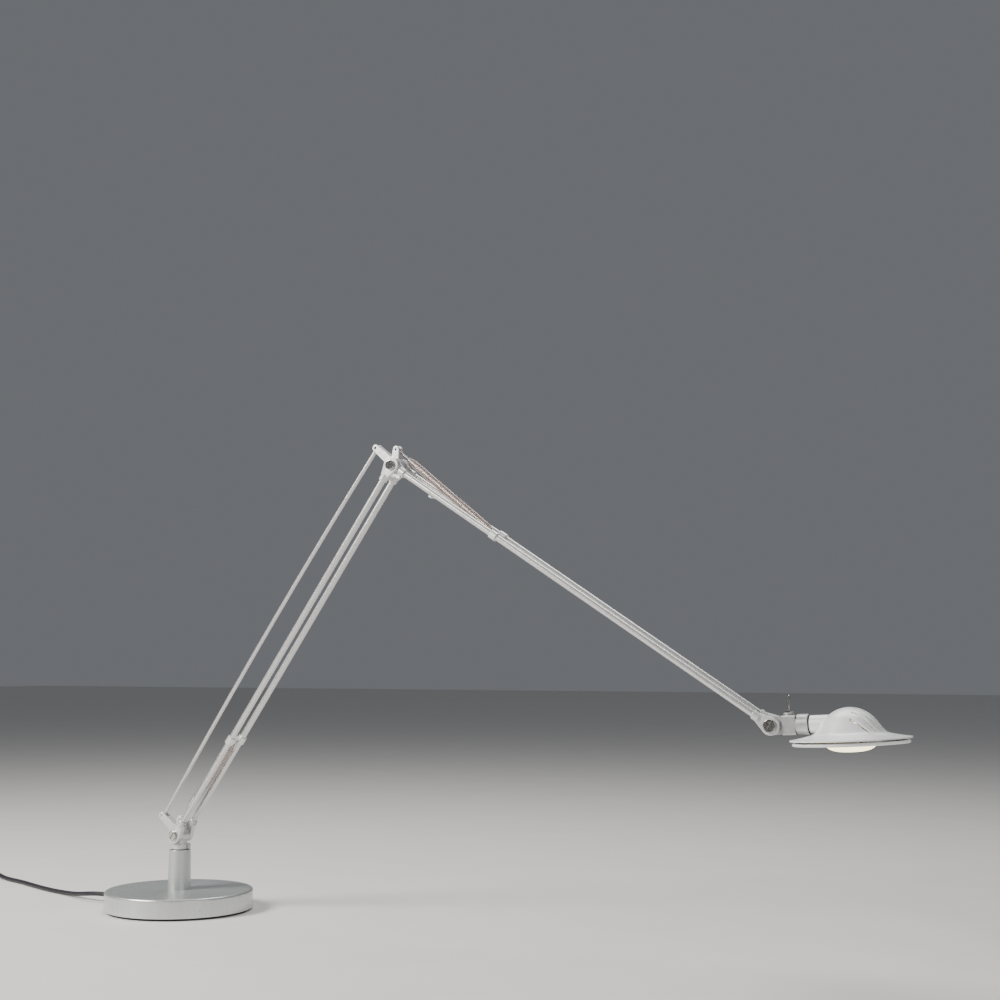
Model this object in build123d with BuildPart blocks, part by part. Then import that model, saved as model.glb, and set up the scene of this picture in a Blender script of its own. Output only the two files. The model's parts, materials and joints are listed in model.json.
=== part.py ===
from build123d import *
from math import cos, pi, radians, sin, tan
import os

# Swing arm desk lamp: round weighted base, swivelling turret, two twin-tube arms balanced by
# extension springs, a tie rod that keeps the elbow bracket level, and a tilting, rolling head.
# Millimetres. Origin at the centre of the base's underside, +X along the arms' reach, +Z up.

os.makedirs("parts", exist_ok=True)

# Base and post
BASE_RADIUS = 82.5
BASE_TOP = 23.0
BASE_WALL = 3.0
BASE_ROOF = 3.0
BASE_EDGE_ROUND = 2.5
FOOT_INSET = 3.5
FOOT_HEIGHT = 2.5
PLATE_THICKNESS = 2.0
PLATE_SCREW_CIRCLE = 50.0
PLATE_SCREW_COUNT = 4
PLATE_SCREW_RADIUS = 2.0
PLATE_SCREW_LENGTH = 9.0
POST_HEIGHT = 44.0
POST_FOOT_RADIUS = 13.0
POST_HEAD_RADIUS = 12.0
POST_SPIGOT_RADIUS = 7.0
POST_NUT_RADIUS = 12.0
POST_NUT_HEIGHT = 5.0
TRANSFORMER_SIZE = (56.0, 40.0, 12.0)
TRANSFORMER_REACH = 44.0

# Swivel
STEM_RADIUS = 5.0
STEM_TAIL = 8.0
BUSH_WALL = 1.9
BUSH_FLANGE = 0.8
BUSH_FLANGE_INSET = 0.5
WIRE_BORE_RADIUS = 2.2
COLLAR_RADIUS = 8.3
COLLAR_HEIGHT = 5.7
STOP_PIN_RADIUS = 1.6
STOP_PIN_HEIGHT = 7.0
STOP_PIN_AZIMUTH = 27.0
STOP_TAB_AZIMUTH = 150.0
STOP_TAB_WIDTH = 3.4

# Arms
PIVOT_HEIGHT = 83.5
LOWER_ARM_LENGTH = 495.0
UPPER_ARM_LENGTH = 495.0
LOWER_ARM_ANGLE = 54.8
UPPER_ARM_ANGLE = -32.85
TUBE_RADIUS = 3.25
TUBE_WALL = 0.8
TUBE_SPREAD = 19.2
TUBE_START = 13.5
SOCKET_RADIUS = 4.7
SOCKET_START = 12.5
SOCKET_LENGTH = 7.5
LUG_RADIUS = 8.8
LUG_ROUND = 0.7
WEB_LENGTH = 5.0
WEB_HEIGHT = 4.0
GRUB_RADIUS = 1.5
GRUB_LENGTH = 2.0

# Stack of plates across each pivot, as distances from the middle plane
TURRET_HALF_WIDTH = 6.0
BRACKET_HALF_WIDTH = 4.5
WASHER_THICKNESS = 0.5
WASHER_RADIUS = 7.8
LUG_THICKNESS = 3.5
ROOT_LUG_THICKNESS = 3.2
LUG_OUTER = 12.4
AXLE_RADIUS = 3.0
HEAD_RADIUS = 5.3
HEAD_HEIGHT = 2.6
WRIST_HEAD_RADIUS = 6.3
SHANK_RADIUS = 1.5
SHANK_LENGTH = 6.0
SLOT_WIDTH = 1.3
SLOT_DEPTH = 1.0

# Bracket with the tie lever and the spring horn, used on the turret and at the elbow
LEVER_TIP = (-24.5, 20.6)
HORN_TIP = (1.5, 17.5)
LEVER_TIP_RADIUS = 3.9
HORN_TIP_RADIUS = 4.0
BRACKET_ROOT_RADIUS = 5.2
LEVER_PIN_RADIUS = 1.5
HORN_PIN_RADIUS = 1.25
LEVER_SLOT_HALF = 2.4
HORN_SLOT_HALF = 1.6
ROD_RADIUS = 2.1
ROD_BOW = 4.0
ROD_EYE_RADIUS = 3.7
ROD_EYE_HALF = 2.2
OPEN_PIVOT_GAP = 0.4

# Springs
SPRING_RADIUS = 4.3
SPRING_WIRE_RADIUS = 0.7
SPRING_COIL_WALL = 1.4
SPRING_CLEAR_RADIUS = 31.6
LOWER_BRIDGE_REACH = 132.0
UPPER_BRIDGE_REACH = 148.0
BRIDGE_LENGTH = 8.0
BRIDGE_SLOT_HALF = 2.0
BRIDGE_SLOT_DEPTH = 5.0
TUBE_TIE_REACH = 59.0
TUBE_TIE_SIZE = (24.0, 1.8, 4.0)

# Wrist
HEAD_ANGLE = 2.9
TONGUE_HALF_WIDTH = 6.7
BLOCK_START = 10.5
BLOCK_HALF_WIDTH = 9.0
BLOCK_HALF_HEIGHT = 9.0
SHOULDER_START = 23.0
SHOULDER_WALL = 1.15
SHOULDER_LENGTH = 11.5
SPIGOT_RADIUS = 7.0
SPIGOT_TAIL_RADIUS = 4.5
NECK_BUSH_WALL = 1.6
NECK_BUSH_LENGTH = 8.5
NECK_FLANGE_THICKNESS = 1.2
NECK_FLANGE_INSET = 0.4
SWITCH_REACH = 15.0
SWITCH_BOSS_FOOT_RADIUS = 4.1
SWITCH_BOSS_HEAD_RADIUS = 5.1
SWITCH_BOSS_HEIGHT = 2.6
SWITCH_ROOF = 1.5
SWITCH_BODY_SIZE = (6.4, 7.6, 8.0)
SWITCH_BUSH_RADIUS = 3.0
SWITCH_BUSH_RISE = 0.3
SWITCH_NUT_RADIUS = 4.2
SWITCH_NUT_HEIGHT = 1.0
SWITCH_HINGE_HEIGHT = 9.5
SWITCH_LEVER_TOP = 28.0
SWITCH_LEVER_RADIUS = 0.9
SWITCH_LEVER_LEAN = 4.0
SWITCH_BALL_DROP = 1.2
SWITCH_TIP_RADIUS = 1.3
SWITCH_HOLE_RADIUS = 2.3

# Head, measured from the wrist's axis: along the neck, and down from it
NECK_WALL = 1.3
NECK_BORE_STEP = 0.3
DISC_CENTRE = 71.5
FLANGE_DROP = 15.0
FLANGE_RADIUS = 55.0
FLANGE_EDGE = 1.3
DOME_HEIGHT = 29.5
DOME_RADIUS = 37.0
DOME_WALL = 1.8
DOME_FOOT = 0.16
VENT_WIDTH = 2.6
VENT_PITCH = 7.2
VENT_COUNT = 7
VENT_START = 6.0
VENT_FLOOR = 4.0
DISC_RADIUS = 53.0
DISC_GAP = 1.6
DISC_THICKNESS = 4.0
DISC_RECESS = 1.7
DISC_RIM = 2.8
DISC_EDGE_ROUND = 1.2
FLARE_WALL = 1.7
RIM_LAND = 5.0
TROUGH_GAP = 0.8
LENS_RADIUS = 25.2
LENS_LIP = 1.4
LENS_EDGE = 2.4
LENS_CROWN = 5.4
SPACER_CIRCLE = 44.0
SPACER_RADIUS = 3.0
SPACER_COUNT = 3
BOWL_TOP_RADIUS = 9.0
BOWL_WALL = 0.8
BOWL_HEIGHT = 20.0
HOLDER_RADIUS = 6.5
HOLDER_BOSS_RADIUS = 5.6
HOLDER_DROP = 2.0
HOLDER_LENGTH = 7.0
BULB_RADIUS = 4.6
BULB_LENGTH = 16.0
BULB_PIN_RADIUS = 0.5
BULB_PIN_SPREAD = 4.0

# Mains lead
CORD_RADIUS = 2.6
CORD_EXIT_HEIGHT = 9.5
GLAND_RADIUS = 4.0
GLAND_NUT_RADIUS = 5.4
GLAND_NUT_THICKNESS = 3.0
GLAND_FLANGE = 2.0
RELIEF_LENGTH = 21.5
RELIEF_ROOT_RADIUS = 4.6
RELIEF_TIP_RADIUS = 3.2
COIL_CENTRE = (-427.0, 80.0)
COIL_RADIUS = 31.2
COIL_LANES = 5
COIL_LAYERS = 2
PLUG_LENGTH = 34.0
PLUG_WIDTH = 26.0
PLUG_HEIGHT = 11.0
PLUG_PIN_RADIUS = 2.0
PLUG_PIN_LENGTH = 19.0
PLUG_PIN_SPREAD = 19.0

# Fits
RUNNING_GAP = 0.05
SEAT_GAP = 0.02
SIDE_GAP = 0.05
ROOM = 0.3


def polar(angle, length):
    """A vector in the arms' plane, as (x, z)."""
    return (length * cos(radians(angle)), length * sin(radians(angle)))


def moved(point, angle, along, up=0.0):
    """The point reached from a pivot by going along an arm and to its upper side."""
    ax, az = polar(angle, along)
    ux, uz = polar(angle + 90, up)
    return (point[0] + ax + ux, point[1] + az + uz)


SHOULDER = (0.0, PIVOT_HEIGHT)
ELBOW = moved(SHOULDER, LOWER_ARM_ANGLE, LOWER_ARM_LENGTH)
WRIST = moved(ELBOW, UPPER_ARM_ANGLE, UPPER_ARM_LENGTH)


def side_plane(pivot, angle, y=0.0):
    """Local x along an arm, local y to its upper side, normal towards -Y."""
    return Plane(origin=(pivot[0], y, pivot[1]), x_dir=(cos(radians(angle)), 0, sin(radians(angle))),
                 z_dir=(0, -1, 0))


def cross_plane(pivot, angle, along, up=0.0):
    """Square to an arm: local x towards +Y, local y to the arm's upper side."""
    x, z = moved(pivot, angle, along, up)
    return Plane(origin=(x, 0, z), x_dir=(0, 1, 0), z_dir=(cos(radians(angle)), 0, sin(radians(angle))))


def save(builder, name):
    builder.part.label = name
    export_step(builder.part, f"parts/{name}.step")


def save_part(part, name):
    part.label = name
    export_step(part, f"parts/{name}.step")


def pin_across(pivot, radius, half_length):
    """A plain pin through a pivot, along Y."""
    with BuildPart() as pin:
        with BuildSketch(side_plane(pivot, 0, half_length)):
            Circle(radius)
        extrude(amount=2 * half_length)
        chamfer(pin.edges(), 0.2)
    return pin.part


def tapped_axle(pivot, half_length):
    """A pivot axle with a tapped hole in each end."""
    with BuildPart() as axle:
        with BuildSketch(side_plane(pivot, 0, half_length)):
            Circle(AXLE_RADIUS)
        extrude(amount=2 * half_length)
        for y in (half_length, SHANK_LENGTH + ROOM - half_length):
            with BuildSketch(side_plane(pivot, 0, y)):
                Circle(SHANK_RADIUS + SEAT_GAP)
            extrude(amount=SHANK_LENGTH + ROOM, mode=Mode.SUBTRACT)
    return axle.part


def screw_pair(pivot, angle, seat, head_radius):
    """The two slotted, domed screws that close a pivot, one on each side."""
    with BuildPart() as pair:
        for side in (-1, 1):
            face = Plane(origin=(pivot[0], side * seat, pivot[1]), z_dir=(0, side, 0),
                         x_dir=(cos(radians(angle)), 0, sin(radians(angle))))
            with BuildSketch(face):
                Circle(head_radius)
            extrude(amount=HEAD_HEIGHT)
            rim = pair.edges().filter_by(GeomType.CIRCLE).sort_by(Axis.Y)[-1 if side > 0 else 0]
            fillet(rim, 0.8)
            with BuildSketch(face.offset(HEAD_HEIGHT - SLOT_DEPTH)):
                Rectangle(2 * head_radius, SLOT_WIDTH)
            extrude(amount=SLOT_DEPTH, mode=Mode.SUBTRACT)
            with BuildSketch(face):
                Circle(SHANK_RADIUS)
            extrude(amount=-SHANK_LENGTH)
    return pair.part


def washers(pivot, inner_faces, outer_radius):
    """Friction washers round a pivot, one pair for each distance from the middle plane."""
    with BuildPart() as stack:
        for inner in inner_faces:
            for start in (inner + WASHER_THICKNESS, -inner):
                with BuildSketch(side_plane(pivot, 0, start)):
                    Circle(outer_radius)
                    Circle(AXLE_RADIUS + 2 * RUNNING_GAP, mode=Mode.SUBTRACT)
                extrude(amount=WASHER_THICKNESS)
    return stack.part


def lug(pivot, angle, start, thickness):
    """One rounded plate that reaches from a pivot to its tube socket."""
    with BuildPart() as plate:
        with BuildSketch(side_plane(pivot, angle, start)):
            Circle(LUG_RADIUS)
            with Locations((SOCKET_START + LUG_ROUND, 0)):
                Circle(SOCKET_RADIUS)
            make_hull()
        extrude(amount=thickness)
        fillet(plate.faces().filter_by(Axis.Y).edges(), LUG_ROUND)
    return plate.part


def arm_end(pivot, angle, inner, thickness, has_web=True):
    """One end of an arm: two lugs and two tube sockets, joined by a web where nothing swings there."""
    with BuildPart() as casting:
        with BuildSketch(cross_plane(pivot, angle, SOCKET_START)):
            with Locations((-TUBE_SPREAD / 2, 0), (TUBE_SPREAD / 2, 0)):
                Circle(SOCKET_RADIUS)
        extrude(amount=SOCKET_LENGTH)
        fillet(casting.edges().filter_by(GeomType.CIRCLE), LUG_ROUND)
        add(lug(pivot, angle, -inner, thickness))
        add(lug(pivot, angle, inner + thickness, thickness))
        if has_web:
            with BuildSketch(cross_plane(pivot, angle, SOCKET_START)):
                Rectangle(TUBE_SPREAD, WEB_HEIGHT)
            extrude(amount=WEB_LENGTH)
        with BuildSketch(cross_plane(pivot, angle, TUBE_START)):
            with Locations((-TUBE_SPREAD / 2, 0), (TUBE_SPREAD / 2, 0)):
                Circle(TUBE_RADIUS + SEAT_GAP)
        extrude(amount=SOCKET_START + SOCKET_LENGTH - TUBE_START, mode=Mode.SUBTRACT)
        with BuildSketch(side_plane(pivot, angle, inner + thickness)):
            Circle(AXLE_RADIUS + (SEAT_GAP if inner + thickness > LUG_OUTER - 1 else RUNNING_GAP))
        extrude(amount=2 * (inner + thickness), mode=Mode.SUBTRACT)
        for side in (-1, 1):
            with BuildSketch(grub_plane(pivot, angle, side)):
                Circle(GRUB_RADIUS + SEAT_GAP)
            extrude(amount=SOCKET_RADIUS, mode=Mode.SUBTRACT)
    return casting.part


def grub_plane(pivot, angle, side):
    """The seat of a socket's grub screw: on the tube, on the arm's lower side."""
    x, z = moved(pivot, angle, SOCKET_START + SOCKET_LENGTH - 3.0, -TUBE_RADIUS - SEAT_GAP)
    down = polar(angle - 90, 1.0)
    return Plane(origin=(x, side * TUBE_SPREAD / 2, z), z_dir=(down[0], 0, down[1]))


def grub_screws(places):
    """The grub screws that hold the tubes in their sockets."""
    with BuildPart() as grubs:
        for pivot, angle in places:
            for side in (-1, 1):
                with BuildSketch(grub_plane(pivot, angle, side)):
                    Circle(GRUB_RADIUS)
                extrude(amount=GRUB_LENGTH)
    return grubs.part


def arm_tube(pivot, angle, length, side):
    """One thin-walled arm tube between its two sockets."""
    with BuildPart() as tube:
        with BuildSketch(cross_plane(pivot, angle, TUBE_START)):
            with Locations((side * TUBE_SPREAD / 2, 0)):
                Circle(TUBE_RADIUS)
                Circle(TUBE_RADIUS - TUBE_WALL, mode=Mode.SUBTRACT)
        extrude(amount=length - 2 * TUBE_START)
    return tube.part


def bracket(pivot, half_width):
    """Barrel, tie lever and spring horn round a pivot, with forks for the rod and the spring."""
    with BuildPart() as body:
        with BuildSketch(side_plane(pivot, 0, half_width)):
            Circle(LUG_RADIUS)
        extrude(amount=2 * half_width)
        fillet(body.edges().filter_by(GeomType.CIRCLE), LUG_ROUND)
        for tip, tip_radius in ((LEVER_TIP, LEVER_TIP_RADIUS), (HORN_TIP, HORN_TIP_RADIUS)):
            with BuildPart(mode=Mode.ADD) as limb:
                with BuildSketch(side_plane(pivot, 0, BRACKET_HALF_WIDTH)):
                    Circle(BRACKET_ROOT_RADIUS)
                    with Locations(tip):
                        Circle(tip_radius)
                    make_hull()
                extrude(amount=2 * BRACKET_HALF_WIDTH)
                fillet(limb.faces().filter_by(Axis.Y).edges(), LUG_ROUND)
        for tip, slot_half, slot_radius, pin_radius in (
                (LEVER_TIP, LEVER_SLOT_HALF, LEVER_TIP_RADIUS + 3.4, LEVER_PIN_RADIUS),
                (HORN_TIP, HORN_SLOT_HALF, HORN_TIP_RADIUS + 2.4, HORN_PIN_RADIUS)):
            with BuildSketch(side_plane(pivot, 0, slot_half)):
                with Locations(tip):
                    Circle(slot_radius)
            extrude(amount=2 * slot_half, mode=Mode.SUBTRACT)
            with BuildSketch(side_plane(pivot, 0, half_width)):
                with Locations(tip):
                    Circle(pin_radius + SEAT_GAP)
            extrude(amount=2 * half_width, mode=Mode.SUBTRACT)
        with BuildSketch(side_plane(pivot, 0, half_width)):
            Circle(AXLE_RADIUS + RUNNING_GAP)
        extrude(amount=2 * half_width, mode=Mode.SUBTRACT)
    return body.part


# Base body -----------------------------------------------------------------------------------

PLATE_TOP = FOOT_HEIGHT + PLATE_THICKNESS
ROOF_UNDERSIDE = BASE_TOP - BASE_ROOF
INNER_RADIUS = BASE_RADIUS - BASE_WALL
POST_TOP = BASE_TOP + POST_HEIGHT
NUT_SEAT = PLATE_TOP + ROOM + POST_NUT_HEIGHT

with BuildPart() as base_shell:
    with BuildSketch(Plane.XY.offset(FOOT_HEIGHT)):
        Circle(BASE_RADIUS)
    extrude(amount=BASE_TOP - FOOT_HEIGHT)
    fillet(base_shell.edges().filter_by(GeomType.CIRCLE).sort_by(Axis.Z)[-1], BASE_EDGE_ROUND)
    with BuildSketch(Plane.XY.offset(FOOT_HEIGHT)):
        Circle(INNER_RADIUS)
    extrude(amount=ROOF_UNDERSIDE - FOOT_HEIGHT, mode=Mode.SUBTRACT)
    with BuildSketch(Plane.XY.offset(ROOF_UNDERSIDE)):
        Circle(POST_SPIGOT_RADIUS + SEAT_GAP)
    extrude(amount=BASE_ROOF, mode=Mode.SUBTRACT)
    with BuildSketch(Plane.YZ.offset(-BASE_RADIUS)):
        with Locations((0, CORD_EXIT_HEIGHT)):
            Circle(GLAND_RADIUS + SEAT_GAP)
    extrude(amount=2 * BASE_WALL, mode=Mode.SUBTRACT)
save(base_shell, "base_shell")

with BuildPart() as foot_pad:
    with BuildSketch():
        Circle(BASE_RADIUS - FOOT_INSET)
    extrude(amount=FOOT_HEIGHT)
save(foot_pad, "foot_pad")

with BuildPart() as base_plate:
    with BuildSketch(Plane.XY.offset(FOOT_HEIGHT)):
        Circle(INNER_RADIUS - ROOM)
    extrude(amount=PLATE_THICKNESS)
    with BuildSketch(Plane.XY.offset(FOOT_HEIGHT)):
        with PolarLocations(PLATE_SCREW_CIRCLE, PLATE_SCREW_COUNT, start_angle=45):
            Circle(PLATE_SCREW_RADIUS + SEAT_GAP)
    extrude(amount=PLATE_THICKNESS, mode=Mode.SUBTRACT)
save(base_plate, "base_plate")

with BuildPart() as ballast_disc:
    with BuildSketch(Plane.XY.offset(PLATE_TOP)):
        Circle(INNER_RADIUS - ROOM)
        Circle(POST_SPIGOT_RADIUS + SEAT_GAP, mode=Mode.SUBTRACT)
    extrude(amount=ROOF_UNDERSIDE - PLATE_TOP)
    with BuildSketch(Plane.XY.offset(PLATE_TOP)):
        Circle(POST_NUT_RADIUS + ROOM)
    extrude(amount=NUT_SEAT - PLATE_TOP, mode=Mode.SUBTRACT)
    with BuildSketch(Plane.XY.offset(PLATE_TOP)):
        with Locations((-TRANSFORMER_REACH, 0)):
            Rectangle(TRANSFORMER_SIZE[0] + 2 * ROOM, TRANSFORMER_SIZE[1] + 2 * ROOM)
        with Locations((-(INNER_RADIUS + TRANSFORMER_REACH) / 2, 0)):
            Rectangle(INNER_RADIUS - TRANSFORMER_REACH, 2 * GLAND_NUT_RADIUS + 2 * ROOM)
    extrude(amount=CORD_EXIT_HEIGHT + GLAND_NUT_RADIUS + ROOM - PLATE_TOP, mode=Mode.SUBTRACT)
    with BuildSketch(Plane.XY.offset(PLATE_TOP)):
        Rectangle(2 * (TRANSFORMER_REACH - TRANSFORMER_SIZE[0] / 2) + 4, 4 * WIRE_BORE_RADIUS)
    extrude(amount=2 * WIRE_BORE_RADIUS, mode=Mode.SUBTRACT)
    with BuildSketch(Plane.XY.offset(PLATE_TOP)):
        with PolarLocations(PLATE_SCREW_CIRCLE, PLATE_SCREW_COUNT, start_angle=45):
            Circle(PLATE_SCREW_RADIUS + SEAT_GAP)
    extrude(amount=PLATE_SCREW_LENGTH, mode=Mode.SUBTRACT)
save(ballast_disc, "ballast_disc")

with BuildPart() as plate_screws:
    with BuildSketch(Plane.XY.offset(FOOT_HEIGHT)):
        with PolarLocations(PLATE_SCREW_CIRCLE, PLATE_SCREW_COUNT, start_angle=45):
            Circle(PLATE_SCREW_RADIUS)
    extrude(amount=PLATE_SCREW_LENGTH)
save(plate_screws, "plate_screws")

with BuildPart() as transformer_block:
    with BuildSketch(Plane.XY.offset(PLATE_TOP)):
        with Locations((-TRANSFORMER_REACH, 0)):
            Rectangle(TRANSFORMER_SIZE[0], TRANSFORMER_SIZE[1])
    extrude(amount=CORD_EXIT_HEIGHT + GLAND_NUT_RADIUS - PLATE_TOP)
    fillet(transformer_block.edges().filter_by(Axis.Z), 2.0)
    with BuildSketch(Plane.YZ.offset(-TRANSFORMER_REACH - TRANSFORMER_SIZE[0] / 2)):
        with Locations((0, CORD_EXIT_HEIGHT)):
            Circle(CORD_RADIUS)
    extrude(amount=6, mode=Mode.SUBTRACT)
save(transformer_block, "transformer_block")

with BuildPart() as post:
    with BuildSketch(Plane.XY.offset(BASE_TOP)):
        Circle(POST_FOOT_RADIUS)
    with BuildSketch(Plane.XY.offset(POST_TOP)):
        Circle(POST_HEAD_RADIUS)
    loft()
    fillet(post.edges().filter_by(GeomType.CIRCLE).sort_by(Axis.Z)[-1], 0.6)
    with BuildSketch(Plane.XY.offset(NUT_SEAT - POST_NUT_HEIGHT)):
        Circle(POST_SPIGOT_RADIUS)
    extrude(amount=BASE_TOP - NUT_SEAT + POST_NUT_HEIGHT)
    with BuildSketch(Plane.XY.offset(BASE_TOP + ROOM)):
        Circle(STEM_RADIUS + RUNNING_GAP + BUSH_WALL)
    extrude(amount=POST_HEIGHT, mode=Mode.SUBTRACT)
    with BuildSketch():
        Circle(WIRE_BORE_RADIUS)
    extrude(amount=POST_TOP, mode=Mode.SUBTRACT)
    with BuildSketch(Plane.XY.offset(POST_TOP - 4)):
        with PolarLocations(COLLAR_RADIUS + ROOM + STOP_PIN_RADIUS, 1, start_angle=STOP_PIN_AZIMUTH):
            Circle(STOP_PIN_RADIUS + SEAT_GAP)
    extrude(amount=4, mode=Mode.SUBTRACT)
save(post, "post")

with BuildPart() as post_nut:
    with BuildSketch(Plane.XY.offset(NUT_SEAT - POST_NUT_HEIGHT)):
        RegularPolygon(POST_NUT_RADIUS, 6)
        Circle(POST_SPIGOT_RADIUS + SEAT_GAP, mode=Mode.SUBTRACT)
    extrude(amount=POST_NUT_HEIGHT)
save(post_nut, "post_nut")

BUSH_FLOOR = BASE_TOP + STEM_TAIL

with BuildPart() as swivel_bush:
    with BuildSketch(Plane.XY.offset(BUSH_FLOOR)):
        Circle(STEM_RADIUS + RUNNING_GAP + BUSH_WALL - SEAT_GAP)
    extrude(amount=POST_TOP - BUSH_FLOOR)
    with BuildSketch(Plane.XY.offset(POST_TOP)):
        Circle(COLLAR_RADIUS - BUSH_FLANGE_INSET)
    extrude(amount=BUSH_FLANGE)
    with BuildSketch(Plane.XY.offset(BUSH_FLOOR)):
        Circle(STEM_RADIUS + RUNNING_GAP)
    extrude(amount=POST_TOP - BUSH_FLOOR + BUSH_FLANGE, mode=Mode.SUBTRACT)
save(swivel_bush, "swivel_bush")

with BuildPart() as swivel_stop_pin:
    with BuildSketch(Plane.XY.offset(POST_TOP - 4)):
        with PolarLocations(COLLAR_RADIUS + ROOM + STOP_PIN_RADIUS, 1, start_angle=STOP_PIN_AZIMUTH):
            Circle(STOP_PIN_RADIUS)
    extrude(amount=4 + STOP_PIN_HEIGHT)
    fillet(swivel_stop_pin.edges().filter_by(GeomType.CIRCLE).sort_by(Axis.Z)[-1], 0.5)
save(swivel_stop_pin, "swivel_stop_pin")

# Mains lead and its fittings (base body) --------------------------------------------------------

with BuildPart() as cord_gland:
    with BuildSketch(Plane.YZ.offset(-BASE_RADIUS - GLAND_FLANGE)):
        with Locations((0, CORD_EXIT_HEIGHT)):
            Circle(GLAND_NUT_RADIUS)
    extrude(amount=GLAND_FLANGE)
    with BuildSketch(Plane.YZ.offset(-BASE_RADIUS)):
        with Locations((0, CORD_EXIT_HEIGHT)):
            Circle(GLAND_RADIUS)
    extrude(amount=BASE_WALL)
    with BuildSketch(Plane.YZ.offset(-INNER_RADIUS + ROOM)):
        with Locations((0, CORD_EXIT_HEIGHT)):
            RegularPolygon(GLAND_NUT_RADIUS, 6)
    extrude(amount=GLAND_NUT_THICKNESS)
    with BuildSketch(Plane.YZ.offset(-BASE_RADIUS)):
        with Locations((0, CORD_EXIT_HEIGHT)):
            Circle(GLAND_RADIUS)
    extrude(amount=BASE_WALL + ROOM)
save(cord_gland, "cord_gland")

RELIEF_ROOT_X = -BASE_RADIUS - GLAND_FLANGE
RELIEF_TIP_X = RELIEF_ROOT_X - RELIEF_LENGTH

with BuildPart() as strain_relief:
    with BuildSketch(Plane.YZ.offset(RELIEF_TIP_X)):
        with Locations((0, CORD_EXIT_HEIGHT)):
            Circle(RELIEF_TIP_RADIUS)
    with BuildSketch(Plane.YZ.offset(RELIEF_ROOT_X)):
        with Locations((0, CORD_EXIT_HEIGHT)):
            Circle(RELIEF_ROOT_RADIUS)
    loft()
save(strain_relief, "strain_relief")

# The lead runs straight out of the relief, sinks to the table and drifts to the coil.
LEAD_ROUTE = [
    (RELIEF_TIP_X, 0, CORD_EXIT_HEIGHT), (-123, 0, CORD_EXIT_HEIGHT), (-144, 4, 7.2), (-166, 12, 4.4),
    (-190, 21, 2.9), (-217, 28.5, 2.65), (-246, 39, 2.6), (-277, 52, 2.65), (-308, 66, 2.6),
    (-340, 76, 2.65), (-371, 92, 2.6), (-400, 113, 2.65), (-427, 121.6, 2.6),
]
TAIL_ROUTE = [
    (-468.5, 78, 6.0), (-468, 59, 3.6), (-460, 41, 3.8), (-445, 29, 5.4), (-427, 24, 5.4),
]


def corner_radii(points):
    """The radius at each corner: 0.45 of its shorter run over the tangent of half the turn."""
    radii = []
    for before, corner, after in zip(points, points[1:], points[2:]):
        run_in = Vector(corner) - Vector(before)
        run_out = Vector(after) - Vector(corner)
        turn = radians(run_in.get_angle(run_out))
        radii.append(0.45 * min(run_in.length, run_out.length) / tan(turn / 2))
    return radii


def cord_tube(points, name):
    radii = corner_radii(points)
    with BuildPart() as tube:
        with BuildLine() as path:
            FilletPolyline(*points, radius=radii)
        with BuildSketch(Plane(origin=path.line @ 0, z_dir=path.line % 0)):
            Circle(CORD_RADIUS)
        sweep(path=path.line)
    length = path.wire().length
    expected = pi * CORD_RADIUS ** 2 * length
    print(name, "length", round(length, 1), "radii", [round(r) for r in radii],
          "volume ratio", round(tube.part.volume / expected, 4))
    save(tube, name)


cord_tube(LEAD_ROUTE, "power_cord")
cord_tube(TAIL_ROUTE, "cord_tail")

with BuildPart() as cord_coil:
    with BuildSketch(Plane.XZ):
        with Locations((COIL_RADIUS, COIL_LAYERS * CORD_RADIUS)):
            RectangleRounded(2 * COIL_LANES * CORD_RADIUS, 2 * COIL_LAYERS * CORD_RADIUS, CORD_RADIUS)
    revolve(axis=Axis.Z)
save_part(Pos(COIL_CENTRE[0], COIL_CENTRE[1], 0) * cord_coil.part, "cord_coil")

PLUG_AXIS = Vector(*TAIL_ROUTE[-1]) - Vector(*TAIL_ROUTE[-2])
PLUG_FACE = Plane(origin=TAIL_ROUTE[-1], z_dir=(PLUG_AXIS.X, PLUG_AXIS.Y, 0),
                  x_dir=(-PLUG_AXIS.Y, PLUG_AXIS.X, 0))

with BuildPart() as mains_plug:
    with BuildSketch(PLUG_FACE):
        RectangleRounded(3 * CORD_RADIUS, 3 * CORD_RADIUS, CORD_RADIUS)
    with BuildSketch(PLUG_FACE.offset(PLUG_LENGTH * 0.6)):
        RectangleRounded(PLUG_WIDTH, PLUG_HEIGHT - 0.4, 4.0)
    with BuildSketch(PLUG_FACE.offset(PLUG_LENGTH)):
        RectangleRounded(PLUG_WIDTH + 4, PLUG_HEIGHT - 0.4, 4.0)
    loft(ruled=True)
save(mains_plug, "mains_plug")

with BuildPart() as plug_pins:
    with BuildSketch(PLUG_FACE.offset(PLUG_LENGTH)):
        with Locations((-PLUG_PIN_SPREAD / 2, 0), (PLUG_PIN_SPREAD / 2, 0)):
            Circle(PLUG_PIN_RADIUS)
    extrude(amount=PLUG_PIN_LENGTH)
save(plug_pins, "plug_pins")

# Turret body ------------------------------------------------------------------------------------

COLLAR_FLOOR = POST_TOP + BUSH_FLANGE
CLIP_GROOVE = BUSH_FLOOR - 2.0

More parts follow.
